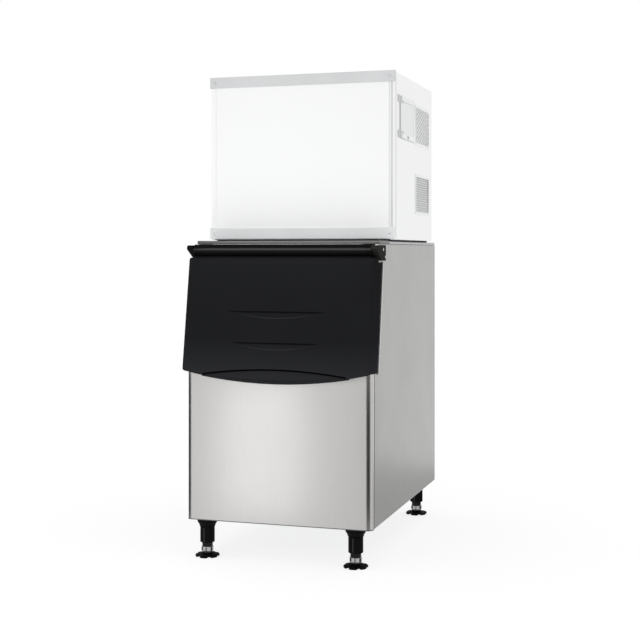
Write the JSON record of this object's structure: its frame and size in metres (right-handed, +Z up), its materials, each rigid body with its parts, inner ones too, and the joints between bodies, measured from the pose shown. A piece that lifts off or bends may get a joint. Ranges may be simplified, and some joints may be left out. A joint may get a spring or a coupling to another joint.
{
  "type": "ice machine",
  "caption": "Modular cube ice maker head on an insulated storage bin with a top-hinged sloping black door, side air inlets and a control cover, on legs with adjustable feet.",
  "frame": {"origin": "on the floor, under the middle of the bounding box", "axes": "+Z up, -Y towards the user (the door side), +X to the user's right, where the air inlets and the control cover are"},
  "size_m": [0.589, 0.8678, 1.427],
  "materials": {
    "bin_side_left_finish": "fine vertical brushed grain, satin",
    "bin_side_right_finish": "fine vertical brushed grain, satin",
    "bin_front_panel_finish": "fine vertical brushed grain, satin",
    "bin_front_shelf_finish": "fine vertical brushed grain, satin",
    "bin_back_finish": "galvanised sheet, matt with faint spangle",
    "bin_base_finish": "galvanised sheet, matt with faint spangle",
    "bin_deck_finish": "galvanised sheet, matt with faint spangle",
    "head_base_finish": "galvanised sheet, matt with faint spangle",
    "fan_shroud_finish": "galvanised sheet, matt with faint spangle",
    "control_box_finish": "galvanised sheet, matt with faint spangle",
    "head_side_left_finish": "pale enamel with a fine texture, satin",
    "head_side_right_finish": "pale enamel with a fine texture, satin",
    "head_back_finish": "pale enamel with a fine texture, satin",
    "head_top_finish": "pale enamel with a fine texture, satin",
    "head_front_panel_finish": "pale enamel with a fine texture, satin",
    "throat_frame_finish": "black moulded plastic, fine grain, semi-matt",
    "door_shell_finish": "black moulded plastic, fine grain, semi-matt",
    "cover_hinge_bar_finish": "black moulded plastic, fine grain, semi-matt",
    "water_pump_finish": "black moulded plastic, fine grain, semi-matt",
    "cord_gland_finish": "black moulded plastic, fine grain, semi-matt",
    "power_switch_finish": "black moulded plastic, fine grain, semi-matt",
    "leg_front_left_finish": "black moulded plastic, fine grain, semi-matt",
    "leg_front_right_finish": "black moulded plastic, fine grain, semi-matt",
    "leg_rear_left_finish": "black moulded plastic, fine grain, semi-matt",
    "leg_rear_right_finish": "black moulded plastic, fine grain, semi-matt",
    "foot_front_left_finish": "black moulded plastic, fine grain, semi-matt",
    "foot_front_right_finish": "black moulded plastic, fine grain, semi-matt",
    "foot_rear_left_finish": "black moulded plastic, fine grain, semi-matt",
    "foot_rear_right_finish": "black moulded plastic, fine grain, semi-matt",
    "hinge_bracket_left_finish": "dark olive grey moulded plastic, matt",
    "hinge_bracket_right_finish": "dark olive grey moulded plastic, matt",
    "stem_front_left_finish": "bright plated steel",
    "stem_front_right_finish": "bright plated steel",
    "stem_rear_left_finish": "bright plated steel",
    "stem_rear_right_finish": "bright plated steel",
    "hinge_pin_left_finish": "bright plated steel",
    "hinge_pin_right_finish": "bright plated steel",
    "door_liner_finish": "light grey moulded plastic, satin",
    "trim_top_finish": "light grey moulded plastic, satin",
    "trim_bottom_finish": "light grey moulded plastic, satin",
    "control_bezel_finish": "light grey moulded plastic, satin",
    "control_cover_finish": "light grey moulded plastic, satin",
    "cover_window_finish": "mid grey moulded plastic, satin",
    "vent_upper_finish": "mid grey moulded plastic, matt",
    "vent_lower_finish": "mid grey moulded plastic, matt",
    "control_plate_finish": "pale grey moulded plastic, satin",
    "bin_liner_finish": "white food-grade plastic, smooth",
    "drain_fitting_finish": "white food-grade plastic, smooth",
    "freezing_compartment_finish": "white food-grade plastic, smooth",
    "water_distributor_finish": "white food-grade plastic, smooth",
    "water_curtain_finish": "white food-grade plastic, smooth",
    "water_trough_finish": "white food-grade plastic, smooth",
    "bin_insulation_finish": "rigid foam, fine closed cells",
    "head_gasket_finish": "black foam rubber, matt",
    "evaporator_finish": "plated, satin",
    "condenser_finish": "thin bright fins",
    "compressor_finish": "black semi-gloss paint",
    "fan_motor_finish": "dark semi-gloss paint",
    "fan_blade_finish": "dark moulded plastic, satin",
    "water_inlet_finish": "plain turned brass"
  },
  "bodies": {
    "cabinet": {"bin_side_left": "bin_side_left_finish", "bin_side_right": "bin_side_right_finish", "bin_front_panel": "bin_front_panel_finish", "bin_front_shelf": "bin_front_shelf_finish", "bin_back": "bin_back_finish", "bin_base": "bin_base_finish", "bin_deck": "bin_deck_finish", "head_base": "head_base_finish", "fan_shroud": "fan_shroud_finish", "control_box": "control_box_finish", "head_side_left": "head_side_left_finish", "head_side_right": "head_side_right_finish", "head_back": "head_back_finish", "head_top": "head_top_finish", "head_front_panel": "head_front_panel_finish", "throat_frame": "throat_frame_finish", "water_pump": "water_pump_finish", "cord_gland": "cord_gland_finish", "leg_front_left": "leg_front_left_finish", "leg_front_right": "leg_front_right_finish", "leg_rear_left": "leg_rear_left_finish", "leg_rear_right": "leg_rear_right_finish", "hinge_bracket_left": "hinge_bracket_left_finish", "hinge_bracket_right": "hinge_bracket_right_finish", "hinge_pin_left": "hinge_pin_left_finish", "hinge_pin_right": "hinge_pin_right_finish", "trim_top": "trim_top_finish", "trim_bottom": "trim_bottom_finish", "control_bezel": "control_bezel_finish", "vent_upper": "vent_upper_finish", "vent_lower": "vent_lower_finish", "control_plate": "control_plate_finish", "bin_liner": "bin_liner_finish", "drain_fitting": "drain_fitting_finish", "freezing_compartment": "freezing_compartment_finish", "water_distributor": "water_distributor_finish", "water_trough": "water_trough_finish", "bin_insulation": "bin_insulation_finish", "head_gasket": "head_gasket_finish", "evaporator": "evaporator_finish", "condenser": "condenser_finish", "compressor": "compressor_finish", "fan_motor": "fan_motor_finish", "water_inlet": "water_inlet_finish"},
    "door": {"door_shell": "door_shell_finish", "door_liner": "door_liner_finish"},
    "cover": {"control_cover": "control_cover_finish", "cover_window": "cover_window_finish", "cover_hinge_bar": "cover_hinge_bar_finish"},
    "switch": {"power_switch": "power_switch_finish"},
    "fan": {"fan_blade": "fan_blade_finish"},
    "curtain": {"water_curtain": "water_curtain_finish"},
    "foot_front_left": {"stem_front_left": "stem_front_left_finish", "foot_front_left": "foot_front_left_finish"},
    "foot_front_right": {"stem_front_right": "stem_front_right_finish", "foot_front_right": "foot_front_right_finish"},
    "foot_rear_left": {"stem_rear_left": "stem_rear_left_finish", "foot_rear_left": "foot_rear_left_finish"},
    "foot_rear_right": {"stem_rear_right": "stem_rear_right_finish", "foot_rear_right": "foot_rear_right_finish"}
  },
  "joints": [
    {"name": "door_hinge", "type": "hinge", "parent": "cabinet", "child": "door", "pos_m": [0, -0.35512, 0.895], "axis": [-1, 0, 0], "range_deg": [0, 188]},
    {"name": "control_cover_hinge", "type": "hinge", "parent": "cabinet", "child": "cover", "pos_m": [0.2878, -0.11102, 1.297], "axis": [0, 0, -1], "range_deg": [0, 105]},
    {"name": "switch_rocker", "type": "hinge", "parent": "cabinet", "child": "switch", "pos_m": [0.2715, 0.00888, 1.297], "axis": [0, 1, 0], "range_deg": [-8, 8]},
    {"name": "fan_spin", "type": "hinge", "parent": "cabinet", "child": "fan", "pos_m": [0.2088, 0.19288, 1.18], "axis": [1, 0, 0], "continuous": true},
    {"name": "curtain_swing", "type": "hinge", "parent": "cabinet", "child": "curtain", "pos_m": [-0.1144, 0.03698, 1.34602], "axis": [-1, 0, 0], "range_deg": [0, 30]},
    {"name": "foot_adjust_front_left", "type": "slide", "parent": "cabinet", "child": "foot_front_left", "axis": [0, 0, -1], "range_m": [-0.0035, 0.025]},
    {"name": "foot_adjust_front_right", "type": "slide", "parent": "cabinet", "child": "foot_front_right", "axis": [0, 0, -1], "range_m": [-0.0035, 0.025]},
    {"name": "foot_adjust_rear_left", "type": "slide", "parent": "cabinet", "child": "foot_rear_left", "axis": [0, 0, -1], "range_m": [-0.0035, 0.025]},
    {"name": "foot_adjust_rear_right", "type": "slide", "parent": "cabinet", "child": "foot_rear_right", "axis": [0, 0, -1], "range_m": [-0.0035, 0.025]}
  ]
}
